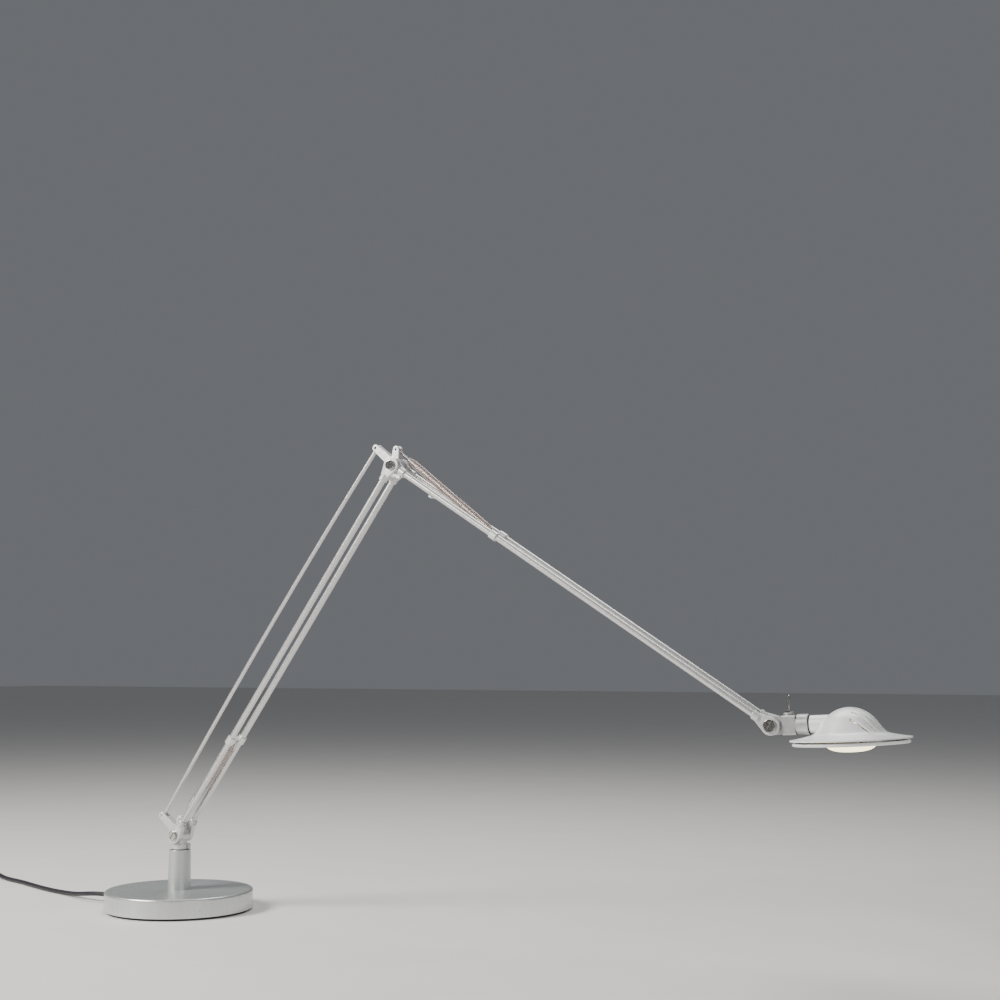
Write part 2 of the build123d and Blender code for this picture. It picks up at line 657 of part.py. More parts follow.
with BuildPart() as turret_casting:
    add(bracket(SHOULDER, TURRET_HALF_WIDTH))
    with BuildSketch(Plane.XY.offset(COLLAR_FLOOR)):
        Circle(COLLAR_RADIUS)
    extrude(amount=COLLAR_HEIGHT)
    fillet(turret_casting.edges().filter_by(GeomType.CIRCLE).group_by(Axis.Z)[1], 0.6)
    with BuildSketch(Plane.XY.offset(COLLAR_FLOOR + 1.0)):
        RectangleRounded(2 * LUG_RADIUS - 3, 2 * TURRET_HALF_WIDTH - 2, 2.0)
    extrude(amount=PIVOT_HEIGHT - COLLAR_FLOOR - AXLE_RADIUS - 2.5)
    with BuildSketch(Plane.XY.offset(CLIP_GROOVE - 1.0)):
        Circle(STEM_RADIUS)
    extrude(amount=COLLAR_FLOOR - CLIP_GROOVE + 2.0)
    with BuildSketch(Plane.XY.offset(CLIP_GROOVE)):
        Circle(STEM_RADIUS)
        Circle(STEM_RADIUS - 1.0, mode=Mode.SUBTRACT)
    extrude(amount=1.0, mode=Mode.SUBTRACT)
    with BuildSketch(Plane.XY.offset(COLLAR_FLOOR + ROOM).rotated((0, 0, STOP_TAB_AZIMUTH))):
        with Locations(((COLLAR_RADIUS + POST_HEAD_RADIUS) / 2 - 1, 0)):
            Rectangle(POST_HEAD_RADIUS - COLLAR_RADIUS + 1, STOP_TAB_WIDTH)
    extrude(amount=STOP_PIN_HEIGHT - BUSH_FLANGE - 2.5)
    with BuildSketch(Plane.XY.offset(CLIP_GROOVE - 1.0)):
        Circle(WIRE_BORE_RADIUS)
    extrude(amount=COLLAR_FLOOR + COLLAR_HEIGHT - CLIP_GROOVE - 1.5, mode=Mode.SUBTRACT)
save(turret_casting, "turret_casting")

with BuildPart() as stem_clip:
    with BuildSketch(Plane.XY.offset(CLIP_GROOVE + SIDE_GAP)):
        Circle(STEM_RADIUS + 1.3)
        Circle(STEM_RADIUS - 1.0 + SEAT_GAP, mode=Mode.SUBTRACT)
        with Locations((0, -STEM_RADIUS)):
            Rectangle(STEM_RADIUS, 2 * STEM_RADIUS, mode=Mode.SUBTRACT)
    extrude(amount=1.0 - 2 * SIDE_GAP)
save(stem_clip, "stem_clip")

for joint_name, pivot in (("turret", SHOULDER), ("elbow", ELBOW)):
    with BuildPart() as bracket_pins:
        for tip, pin_radius in ((LEVER_TIP, LEVER_PIN_RADIUS), (HORN_TIP, HORN_PIN_RADIUS)):
            add(pin_across((pivot[0] + tip[0], pivot[1] + tip[1]), pin_radius, BRACKET_HALF_WIDTH))
    save(bracket_pins, f"{joint_name}_pins")

# Lower arm --------------------------------------------------------------------------------------

TURRET_LUG_INNER = TURRET_HALF_WIDTH + WASHER_THICKNESS + 2 * SIDE_GAP
ROOT_LUG_INNER = BRACKET_HALF_WIDTH + WASHER_THICKNESS + 2 * SIDE_GAP
HEAD_LUG_INNER = ROOT_LUG_INNER + ROOT_LUG_THICKNESS + WASHER_THICKNESS + 2 * SIDE_GAP
TIP_LUG_INNER = TONGUE_HALF_WIDTH + WASHER_THICKNESS + 2 * SIDE_GAP

save_part(arm_end(SHOULDER, LOWER_ARM_ANGLE, TURRET_LUG_INNER, LUG_OUTER - TURRET_LUG_INNER, has_web=False),
          "lower_arm_foot")
save_part(arm_end(ELBOW, LOWER_ARM_ANGLE + 180, HEAD_LUG_INNER, LUG_OUTER - HEAD_LUG_INNER),
          "lower_arm_head")
save_part(arm_tube(SHOULDER, LOWER_ARM_ANGLE, LOWER_ARM_LENGTH, -1), "lower_tube_near")
save_part(arm_tube(SHOULDER, LOWER_ARM_ANGLE, LOWER_ARM_LENGTH, 1), "lower_tube_far")
save_part(grub_screws(((SHOULDER, LOWER_ARM_ANGLE), (ELBOW, LOWER_ARM_ANGLE + 180))), "lower_grub_screws")

with BuildPart() as lower_arm_axles:
    add(tapped_axle(SHOULDER, LUG_OUTER))
    add(tapped_axle(ELBOW, LUG_OUTER))
save(lower_arm_axles, "lower_arm_axles")

with BuildPart() as lower_arm_screws:
    add(screw_pair(SHOULDER, 55, LUG_OUTER, HEAD_RADIUS))
    add(screw_pair(ELBOW, 70, LUG_OUTER, HEAD_RADIUS))
save(lower_arm_screws, "lower_arm_screws")

with BuildPart() as lower_arm_washers:
    add(washers(SHOULDER, (TURRET_HALF_WIDTH + SIDE_GAP,), WASHER_RADIUS))
    add(washers(ELBOW, (BRACKET_HALF_WIDTH + SIDE_GAP, HEAD_LUG_INNER - SIDE_GAP - WASHER_THICKNESS),
                WASHER_RADIUS))
save(lower_arm_washers, "lower_arm_washers")


def spring_bridge(pivot, angle, reach):
    """The clamp across both tubes that anchors a spring: its loop hooks on a bar in a slot."""
    with BuildPart() as clamp:
        with BuildSketch(cross_plane(pivot, angle, reach - BRIDGE_LENGTH / 2)):
            with Locations((-TUBE_SPREAD / 2, 0), (TUBE_SPREAD / 2, 0)):
                Circle(SOCKET_RADIUS)
            Rectangle(TUBE_SPREAD, SOCKET_RADIUS)
        extrude(amount=BRIDGE_LENGTH)
        with BuildSketch(cross_plane(pivot, angle, reach - BRIDGE_LENGTH / 2)):
            with Locations((-TUBE_SPREAD / 2, 0), (TUBE_SPREAD / 2, 0)):
                Circle(TUBE_RADIUS + SEAT_GAP)
        extrude(amount=BRIDGE_LENGTH, mode=Mode.SUBTRACT)
        with BuildSketch(cross_plane(pivot, angle, reach - BRIDGE_LENGTH / 2)):
            Rectangle(2 * BRIDGE_SLOT_HALF, 2 * SOCKET_RADIUS)
        extrude(amount=BRIDGE_SLOT_DEPTH, mode=Mode.SUBTRACT)
        with BuildSketch(side_plane(anchor_point(pivot, angle, reach), angle, BRIDGE_SLOT_HALF + 0.5)):
            Circle(HORN_PIN_RADIUS)
        extrude(amount=2 * BRIDGE_SLOT_HALF + 1.0)
    return clamp.part


def anchor_point(pivot, angle, reach):
    return moved(pivot, angle, reach - BRIDGE_LENGTH / 2 + BRIDGE_SLOT_DEPTH / 2)


def spring_ends(pivot, angle, reach):
    """Horn pin, the spring's direction from it, where the coils start and end, and the anchor."""
    horn = Vector(pivot[0] + HORN_TIP[0], 0, pivot[1] + HORN_TIP[1])
    x, z = anchor_point(pivot, angle, reach)
    anchor = Vector(x, 0, z)
    along = (anchor - horn).normalized()
    start = horn + along * (SPRING_CLEAR_RADIUS - Vector(*HORN_TIP).length + 3.0)
    end = anchor - along * (BRIDGE_SLOT_DEPTH / 2 + 3.0)
    return horn, along, start, end, anchor


def tension_spring(pivot, angle, reach):
    """An extension spring's outer shape: its coils, and the wire at each end that hooks on."""
    horn, along, start, end, anchor = spring_ends(pivot, angle, reach)
    with BuildPart() as spring:
        with BuildSketch(Plane(origin=start, z_dir=along)):
            Circle(SPRING_RADIUS)
            Circle(SPRING_RADIUS - SPRING_COIL_WALL, mode=Mode.SUBTRACT)
        extrude(amount=(end - start).length)
        for face, outward in ((start, -1), (end, 1)):
            with BuildSketch(Plane(origin=face, z_dir=along)):
                Circle(SPRING_RADIUS)
            extrude(amount=-outward * SPRING_COIL_WALL)
        with BuildSketch(Plane(origin=horn + along * (HORN_PIN_RADIUS + SEAT_GAP), z_dir=along)):
            Circle(SPRING_WIRE_RADIUS)
        extrude(amount=(start - horn).length - HORN_PIN_RADIUS)
        with BuildSketch(Plane(origin=end, z_dir=along)):
            Circle(SPRING_WIRE_RADIUS)
        extrude(amount=(anchor - end).length - HORN_PIN_RADIUS)
    return spring.part


for arm_name, pivot, angle, reach in (
        ("lower", SHOULDER, LOWER_ARM_ANGLE, LOWER_BRIDGE_REACH),
        ("upper", ELBOW, UPPER_ARM_ANGLE, UPPER_BRIDGE_REACH)):
    save_part(spring_bridge(pivot, angle, reach), f"{arm_name}_spring_bridge")
    save_part(tension_spring(pivot, angle, reach), f"{arm_name}_spring")

# Tie rod ----------------------------------------------------------------------------------------

ROD_START = (SHOULDER[0] + LEVER_TIP[0], SHOULDER[1] + LEVER_TIP[1])

with BuildPart() as tie_rod:
    with BuildLine(side_plane(ROD_START, LOWER_ARM_ANGLE)) as rod_path:
        ThreePointArc((0, 0), (LOWER_ARM_LENGTH / 2, ROD_BOW), (LOWER_ARM_LENGTH, 0))
    with BuildSketch(Plane(origin=rod_path.line @ 0, z_dir=rod_path.line % 0)):
        Circle(ROD_RADIUS)
    sweep(path=rod_path.line)
    for along in (0, LOWER_ARM_LENGTH):
        with BuildSketch(side_plane(ROD_START, LOWER_ARM_ANGLE, ROD_EYE_HALF)):
            with Locations((along, 0)):
                Circle(ROD_EYE_RADIUS)
        extrude(amount=2 * ROD_EYE_HALF)
    for along, gap in ((0, RUNNING_GAP), (LOWER_ARM_LENGTH, OPEN_PIVOT_GAP)):
        with BuildSketch(side_plane(ROD_START, LOWER_ARM_ANGLE, ROD_EYE_HALF)):
            with Locations((along, 0)):
                Circle(LEVER_PIN_RADIUS + gap)
        extrude(amount=2 * ROD_EYE_HALF, mode=Mode.SUBTRACT)
save(tie_rod, "tie_rod")

# Elbow bracket and upper arm --------------------------------------------------------------------

save_part(bracket(ELBOW, BRACKET_HALF_WIDTH), "elbow_bracket")

save_part(arm_end(ELBOW, UPPER_ARM_ANGLE, ROOT_LUG_INNER, ROOT_LUG_THICKNESS),
          "upper_arm_root")
save_part(arm_end(WRIST, UPPER_ARM_ANGLE + 180, TIP_LUG_INNER, LUG_OUTER - TIP_LUG_INNER),
          "upper_arm_tip")
save_part(arm_tube(ELBOW, UPPER_ARM_ANGLE, UPPER_ARM_LENGTH, -1), "upper_tube_near")
save_part(arm_tube(ELBOW, UPPER_ARM_ANGLE, UPPER_ARM_LENGTH, 1), "upper_tube_far")
save_part(grub_screws(((ELBOW, UPPER_ARM_ANGLE), (WRIST, UPPER_ARM_ANGLE + 180))), "upper_grub_screws")
save_part(tapped_axle(WRIST, LUG_OUTER), "wrist_axle")
save_part(screw_pair(WRIST, 60, LUG_OUTER, WRIST_HEAD_RADIUS), "wrist_screws")
save_part(washers(WRIST, (TONGUE_HALF_WIDTH + SIDE_GAP,), WASHER_RADIUS), "wrist_washers")

with BuildPart() as upper_tube_tie:
    with BuildSketch(cross_plane(ELBOW, UPPER_ARM_ANGLE, TUBE_TIE_REACH,
                                 -TUBE_RADIUS - SEAT_GAP - TUBE_TIE_SIZE[1] / 2)):
        Rectangle(TUBE_TIE_SIZE[0], TUBE_TIE_SIZE[1])
    extrude(amount=TUBE_TIE_SIZE[2])
    fillet(upper_tube_tie.edges().filter_by(Axis.Y, reverse=False), 0.5)
save(upper_tube_tie, "upper_tube_tie")

# Wrist body -------------------------------------------------------------------------------------

SHOULDER_END = SHOULDER_START + SHOULDER_LENGTH
SHOULDER_RADIUS = SPIGOT_RADIUS + RUNNING_GAP + NECK_BUSH_WALL + SHOULDER_WALL
NECK_RADIUS = SPIGOT_RADIUS + SEAT_GAP + NECK_WALL
SWITCH_BOSS_TOP = BLOCK_HALF_HEIGHT + SWITCH_BOSS_HEIGHT
SWITCH_BUSH_TOP = SWITCH_BOSS_TOP + SWITCH_NUT_HEIGHT + SWITCH_BUSH_RISE
SWITCH_BODY_TOP = BLOCK_HALF_HEIGHT - SWITCH_ROOF
NECK_BUSH_START = SHOULDER_END - NECK_BUSH_LENGTH
SPIGOT_TAIL_END = NECK_BUSH_START - 6.0
SPIGOT_CLIP = NECK_BUSH_START - 4.0


def neck_plane(along):
    """Square to the neck, with local x towards +Y and local y upwards."""
    return cross_plane(WRIST, HEAD_ANGLE, along)


def level_plane(up, along=0.0):
    """Parallel to the neck and to the disc: local x along the neck, normal upwards."""
    x, z = moved(WRIST, HEAD_ANGLE, along, up)
    normal = polar(HEAD_ANGLE + 90, 1.0)
    return Plane(origin=(x, 0, z), x_dir=(cos(radians(HEAD_ANGLE)), 0, sin(radians(HEAD_ANGLE))),
                 z_dir=(normal[0], 0, normal[1]))


with BuildPart() as wrist_block:
    with BuildSketch(side_plane(WRIST, HEAD_ANGLE, TONGUE_HALF_WIDTH)):
        Circle(LUG_RADIUS - ROOM)
        with Locations((BLOCK_START / 2 + 0.5, 0)):
            Rectangle(BLOCK_START + 1, 2 * BLOCK_HALF_HEIGHT - 2)
    extrude(amount=2 * TONGUE_HALF_WIDTH)
    with BuildPart(mode=Mode.ADD) as carrier:
        with BuildSketch(neck_plane(BLOCK_START)):
            RectangleRounded(2 * BLOCK_HALF_WIDTH, 2 * BLOCK_HALF_HEIGHT, 1.5)
        extrude(amount=SHOULDER_START - BLOCK_START)
    with BuildPart(mode=Mode.ADD) as shoulder_ring:
        with BuildSketch(neck_plane(SHOULDER_START)):
            Circle(SHOULDER_RADIUS)
        extrude(amount=SHOULDER_LENGTH)
        chamfer(shoulder_ring.edges().filter_by(GeomType.CIRCLE), 0.6)
    with BuildPart(mode=Mode.ADD) as switch_boss:
        with BuildSketch(level_plane(BLOCK_HALF_HEIGHT - SWITCH_ROOF / 2, SWITCH_REACH)):
            Circle(SWITCH_BOSS_FOOT_RADIUS)
        with BuildSketch(level_plane(SWITCH_BOSS_TOP, SWITCH_REACH)):
            Circle(SWITCH_BOSS_HEAD_RADIUS)
        loft()
        fillet(switch_boss.edges().filter_by(GeomType.CIRCLE).sort_by(Axis.Z)[-1], 0.8)
    with BuildSketch(side_plane(WRIST, HEAD_ANGLE, TONGUE_HALF_WIDTH)):
        Circle(AXLE_RADIUS + RUNNING_GAP)
    extrude(amount=2 * TONGUE_HALF_WIDTH, mode=Mode.SUBTRACT)
    with BuildSketch(neck_plane(NECK_BUSH_START)):
        Circle(SPIGOT_RADIUS + RUNNING_GAP + NECK_BUSH_WALL)
    extrude(amount=NECK_BUSH_LENGTH, mode=Mode.SUBTRACT)
    with BuildSketch(neck_plane(SPIGOT_TAIL_END - 1.0)):
        Circle(SPIGOT_RADIUS)
    extrude(amount=NECK_BUSH_LENGTH, mode=Mode.SUBTRACT)
    with BuildSketch(level_plane(SWITCH_BODY_TOP - SWITCH_BODY_SIZE[2] - ROOM, SWITCH_REACH)):
        Rectangle(SWITCH_BODY_SIZE[0] + 2 * SIDE_GAP, SWITCH_BODY_SIZE[1] + 2 * SIDE_GAP)
    extrude(amount=SWITCH_BODY_SIZE[2] + ROOM, mode=Mode.SUBTRACT)
    with BuildSketch(level_plane(SWITCH_BODY_TOP - ROOM, SWITCH_REACH)):
        Circle(SWITCH_BUSH_RADIUS + SEAT_GAP)
    extrude(amount=SWITCH_BOSS_TOP, mode=Mode.SUBTRACT)
save(wrist_block, "wrist_block")

with BuildPart() as neck_bush:
    with BuildSketch(neck_plane(NECK_BUSH_START)):
        Circle(SPIGOT_RADIUS + RUNNING_GAP + NECK_BUSH_WALL - SEAT_GAP)
    extrude(amount=NECK_BUSH_LENGTH)
    with BuildSketch(neck_plane(SHOULDER_END)):
        Circle(NECK_RADIUS - NECK_FLANGE_INSET)
    extrude(amount=NECK_FLANGE_THICKNESS)
    with BuildSketch(neck_plane(NECK_BUSH_START)):
        Circle(SPIGOT_RADIUS + RUNNING_GAP)
    extrude(amount=NECK_BUSH_LENGTH + NECK_FLANGE_THICKNESS, mode=Mode.SUBTRACT)
save(neck_bush, "neck_bush")

with BuildPart() as switch_module:
    with BuildSketch(level_plane(SWITCH_BODY_TOP - SWITCH_BODY_SIZE[2], SWITCH_REACH)):
        Rectangle(SWITCH_BODY_SIZE[0], SWITCH_BODY_SIZE[1])
    extrude(amount=SWITCH_BODY_SIZE[2])
    with BuildSketch(level_plane(SWITCH_BODY_TOP, SWITCH_REACH)):
        Circle(SWITCH_BUSH_RADIUS)
    extrude(amount=SWITCH_BUSH_TOP - SWITCH_BODY_TOP)
    with BuildSketch(level_plane(SWITCH_BODY_TOP, SWITCH_REACH)):
        Circle(SWITCH_HOLE_RADIUS)
    extrude(amount=SWITCH_BUSH_TOP - SWITCH_BODY_TOP, mode=Mode.SUBTRACT)
save(switch_module, "switch_module")

with BuildPart() as switch_nut:
    with BuildSketch(level_plane(SWITCH_BOSS_TOP, SWITCH_REACH)):
        RegularPolygon(SWITCH_NUT_RADIUS, 6)
        Circle(SWITCH_BUSH_RADIUS + SEAT_GAP, mode=Mode.SUBTRACT)
    extrude(amount=SWITCH_NUT_HEIGHT)
save(switch_nut, "switch_nut")


def lever_plane(along):
    """Square to the leaning toggle lever, at a distance from its hinge."""
    x, z = moved(WRIST, HEAD_ANGLE, SWITCH_REACH, SWITCH_HINGE_HEIGHT)
    lean = polar(HEAD_ANGLE + 90 - SWITCH_LEVER_LEAN, 1.0)
    return Plane(origin=(x + along * lean[0], 0, z + along * lean[1]), z_dir=(lean[0], 0, lean[1]))


with BuildPart() as switch_lever:
    with BuildSketch(lever_plane(-SWITCH_BALL_DROP)):
        Circle(SWITCH_LEVER_RADIUS)
    with BuildSketch(lever_plane(SWITCH_LEVER_TOP - SWITCH_HINGE_HEIGHT)):
        Circle(SWITCH_TIP_RADIUS)
    loft()
    fillet(switch_lever.edges().filter_by(GeomType.CIRCLE).sort_by(Axis.Z)[-1], SWITCH_TIP_RADIUS * 0.8)
save(switch_lever, "switch_lever")

# Head body --------------------------------------------------------------------------------------


def disc_profile_plane():
    """Through the disc's axis: local x out from it along the neck, local y up from the neck's axis."""
    x, z = moved(WRIST, HEAD_ANGLE, DISC_CENTRE)
    return side_plane((x, z), HEAD_ANGLE)


x_disc, z_disc = moved(WRIST, HEAD_ANGLE, DISC_CENTRE)
up_disc = polar(HEAD_ANGLE + 90, 1.0)
DISC_AXIS = Axis((x_disc, 0, z_disc), (up_disc[0], 0, up_disc[1]))

SPIGOT_SHOULDER = SHOULDER_END + NECK_FLANGE_THICKNESS + 2 * SIDE_GAP
NECK_SEAT = SPIGOT_SHOULDER + 8.0

with BuildPart() as neck_spigot:
    with BuildSketch(neck_plane(SPIGOT_TAIL_END)):
        Circle(SPIGOT_TAIL_RADIUS)
    extrude(amount=NECK_BUSH_START - SPIGOT_TAIL_END + ROOM)
    with BuildSketch(neck_plane(NECK_BUSH_START + ROOM)):
        Circle(SPIGOT_RADIUS)
    extrude(amount=NECK_SEAT - NECK_BUSH_START - ROOM)
    with BuildSketch(neck_plane(SPIGOT_CLIP)):
        Circle(SPIGOT_TAIL_RADIUS)
        Circle(SPIGOT_TAIL_RADIUS - 0.8, mode=Mode.SUBTRACT)
    extrude(amount=1.0, mode=Mode.SUBTRACT)
    with BuildSketch(neck_plane(SPIGOT_TAIL_END)):
        Circle(WIRE_BORE_RADIUS)
    extrude(amount=NECK_SEAT - SPIGOT_TAIL_END, mode=Mode.SUBTRACT)
save(neck_spigot, "neck_spigot")

with BuildPart() as spigot_clip:
    with BuildSketch(neck_plane(SPIGOT_CLIP + SIDE_GAP)):
        Circle(SPIGOT_TAIL_RADIUS + 1.4)
        Circle(SPIGOT_TAIL_RADIUS - 0.8 + SEAT_GAP, mode=Mode.SUBTRACT)
        with Locations((0, -SPIGOT_TAIL_RADIUS)):
            Rectangle(SPIGOT_TAIL_RADIUS, 2 * SPIGOT_TAIL_RADIUS, mode=Mode.SUBTRACT)
    extrude(amount=1.0 - 2 * SIDE_GAP)
save(spigot_clip, "spigot_clip")

INNER_DOME_RADIUS = DOME_RADIUS - DOME_WALL
INNER_DOME_HEIGHT = DOME_HEIGHT - DOME_WALL
HOLDER_TOP = INNER_DOME_HEIGHT - FLANGE_DROP - HOLDER_DROP


def dome_points(radius, height):
    """The dome's bell shape, from its top to just above its foot."""
    return [(across * radius, up * height - FLANGE_DROP)
            for across, up in ((0, 1), (0.34, 0.90), (0.58, 0.69), (0.72, 0.46), (0.89, 0.21))]


with BuildPart() as head_shell:
    with BuildSketch(disc_profile_plane()):
        with BuildLine():
            crown = Spline(*dome_points(DOME_RADIUS, DOME_HEIGHT),
                           (DOME_RADIUS, DOME_FOOT * DOME_HEIGHT - FLANGE_DROP),
                           tangents=((1, 0), (1, -0.25)))
            flare = Spline(crown @ 1, (FLANGE_RADIUS, FLANGE_EDGE - FLANGE_DROP),
                           tangents=((1, -0.25), (1, -0.12)))
            Polyline(flare @ 1, (FLANGE_RADIUS, -FLANGE_DROP), (0, -FLANGE_DROP),
                     (0, DOME_HEIGHT - FLANGE_DROP))
        make_face()
    revolve(axis=DISC_AXIS)
    with BuildSketch(neck_plane(SPIGOT_SHOULDER)):
        Circle(NECK_RADIUS)
    extrude(amount=DISC_CENTRE - SPIGOT_SHOULDER)
    with BuildSketch(disc_profile_plane()):
        with BuildLine():
            ceiling = Spline(*dome_points(INNER_DOME_RADIUS, INNER_DOME_HEIGHT),
                             (0.93 * INNER_DOME_RADIUS, -FLANGE_DROP), tangents=((1, 0), (0.1, -1)))
            Polyline(ceiling @ 1, (0, -FLANGE_DROP), (0, INNER_DOME_HEIGHT - FLANGE_DROP))
        make_face()
    revolve(axis=DISC_AXIS, mode=Mode.SUBTRACT)
    with BuildSketch(level_plane(HOLDER_TOP, DISC_CENTRE)):
        Circle(HOLDER_BOSS_RADIUS)
    extrude(amount=HOLDER_DROP + DOME_WALL / 2)
    with BuildSketch(disc_profile_plane()):
        with BuildLine():
            Polyline((DOME_RADIUS + FLARE_WALL, -FLANGE_DROP),
                     (DOME_RADIUS + FLARE_WALL, DOME_FOOT * DOME_HEIGHT - FLANGE_DROP - 2 * FLARE_WALL),
                     (FLANGE_RADIUS - RIM_LAND, -FLANGE_DROP), close=True)
        make_face()
    revolve(axis=DISC_AXIS, mode=Mode.SUBTRACT)
    with BuildSketch(neck_plane(0)):
        Circle(SHOULDER_RADIUS + TROUGH_GAP)
    extrude(amount=SPIGOT_SHOULDER, mode=Mode.SUBTRACT)
    with BuildSketch(neck_plane(NECK_SEAT)):
        Circle(SPIGOT_RADIUS - NECK_BORE_STEP)
    extrude(amount=DISC_CENTRE - NECK_SEAT, mode=Mode.SUBTRACT)
    with BuildSketch(neck_plane(SPIGOT_SHOULDER)):
        Circle(SPIGOT_RADIUS + SEAT_GAP)
    extrude(amount=NECK_SEAT - SPIGOT_SHOULDER, mode=Mode.SUBTRACT)
    with BuildSketch(level_plane(VENT_FLOOR - FLANGE_DROP, DISC_CENTRE)):
        with Locations((VENT_START + DOME_RADIUS / 2, 0)):
            with GridLocations(1, VENT_PITCH, 1, VENT_COUNT):
                Rectangle(DOME_RADIUS, VENT_WIDTH)
    extrude(amount=DOME_HEIGHT, mode=Mode.SUBTRACT)
save(head_shell, "head_shell")

DISC_TOP = -FLANGE_DROP - DISC_GAP
DISC_FLOOR = DISC_TOP - DISC_THICKNESS
LENS_SEAT = DISC_FLOOR + LENS_LIP

with BuildPart() as reflector_disc:
    with BuildSketch(disc_profile_plane()):
        with BuildLine():
            Polyline((DISC_RADIUS, DISC_TOP - DISC_EDGE_ROUND), (DISC_RADIUS - DISC_EDGE_ROUND, DISC_TOP),
                     (DISC_RADIUS - DISC_RIM, DISC_TOP), (DISC_RADIUS - DISC_RIM, DISC_TOP - DISC_RECESS),
                     (LENS_RADIUS + DISC_RIM, DISC_TOP - DISC_RECESS), (LENS_RADIUS + DISC_RIM, DISC_TOP),
                     (LENS_RADIUS + SEAT_GAP, DISC_TOP), (LENS_RADIUS + SEAT_GAP, LENS_SEAT),
                     (LENS_RADIUS - LENS_LIP, LENS_SEAT), (LENS_RADIUS - LENS_LIP, DISC_FLOOR))
            Spline((DISC_RADIUS, DISC_TOP - DISC_EDGE_ROUND),
                   (DISC_RADIUS - DISC_RIM, DISC_TOP - 2.4 * DISC_EDGE_ROUND),
                   (LENS_RADIUS - LENS_LIP, DISC_FLOOR), tangents=((0, -1), (-1, -0.02)))
        make_face()
    revolve(axis=DISC_AXIS)
save(reflector_disc, "reflector_disc")

with BuildPart() as disc_spacers:
    with BuildSketch(level_plane(DISC_TOP - DISC_RECESS, DISC_CENTRE)):
        with PolarLocations(SPACER_CIRCLE, SPACER_COUNT, start_angle=60):
            Circle(SPACER_RADIUS)
    extrude(amount=DISC_GAP + DISC_RECESS)
save(disc_spacers, "disc_spacers")

with BuildPart() as front_lens:
    with BuildSketch(disc_profile_plane()):
        with BuildLine():
            Polyline((LENS_RADIUS - LENS_LIP - ROOM, LENS_SEAT), (LENS_RADIUS - SEAT_GAP, LENS_SEAT),
                     (LENS_RADIUS - SEAT_GAP, LENS_SEAT + LENS_EDGE), (0, LENS_SEAT + LENS_EDGE - 1.0),
                     (0, DISC_FLOOR - LENS_CROWN))
            Spline((0, DISC_FLOOR - LENS_CROWN), (LENS_RADIUS - LENS_LIP - ROOM, LENS_SEAT),
                   tangents=((1, 0), (0.6, 1)))
        make_face()
    revolve(axis=DISC_AXIS)
save(front_lens, "front_lens")

with BuildPart() as reflector_bowl:
    with BuildSketch(disc_profile_plane()):
        with BuildLine():
            outside = Spline((LENS_RADIUS - 1.5, LENS_SEAT + LENS_EDGE),
                             (BOWL_TOP_RADIUS, LENS_SEAT + LENS_EDGE + BOWL_HEIGHT),
                             tangents=((-0.15, 1), (-1, 0.35)))
            inside = Spline((LENS_RADIUS - 1.5 - BOWL_WALL, LENS_SEAT + LENS_EDGE),
                            (BOWL_TOP_RADIUS, LENS_SEAT + LENS_EDGE + BOWL_HEIGHT - BOWL_WALL),
                            tangents=((-0.15, 1), (-1, 0.35)))
            Line(outside @ 1, inside @ 1)
            Line(inside @ 0, outside @ 0)
        make_face()
    revolve(axis=DISC_AXIS)
save(reflector_bowl, "reflector_bowl")

HOLDER_FLOOR = HOLDER_TOP - HOLDER_LENGTH

with BuildPart() as lamp_holder:
    with BuildSketch(level_plane(HOLDER_FLOOR, DISC_CENTRE)):
        Circle(HOLDER_RADIUS)
        with Locations((-BULB_PIN_SPREAD / 2, 0), (BULB_PIN_SPREAD / 2, 0)):
            Circle(BULB_PIN_RADIUS + SEAT_GAP, mode=Mode.SUBTRACT)
    extrude(amount=HOLDER_LENGTH)
save(lamp_holder, "lamp_holder")

with BuildPart() as halogen_bulb:
    with BuildSketch(level_plane(HOLDER_FLOOR - BULB_LENGTH, DISC_CENTRE)):
        Circle(BULB_RADIUS)
    extrude(amount=BULB_LENGTH)
    fillet(halogen_bulb.edges().filter_by(GeomType.CIRCLE).sort_by(Axis.Z)[0], BULB_RADIUS - 0.8)
    with BuildSketch(level_plane(HOLDER_FLOOR, DISC_CENTRE)):
        with Locations((-BULB_PIN_SPREAD / 2, 0), (BULB_PIN_SPREAD / 2, 0)):
            Circle(BULB_PIN_RADIUS)
    extrude(amount=HOLDER_LENGTH - 1)
save(halogen_bulb, "halogen_bulb")
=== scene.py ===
import json
from math import atan2, copysign, cos, pi, radians, sin, tau

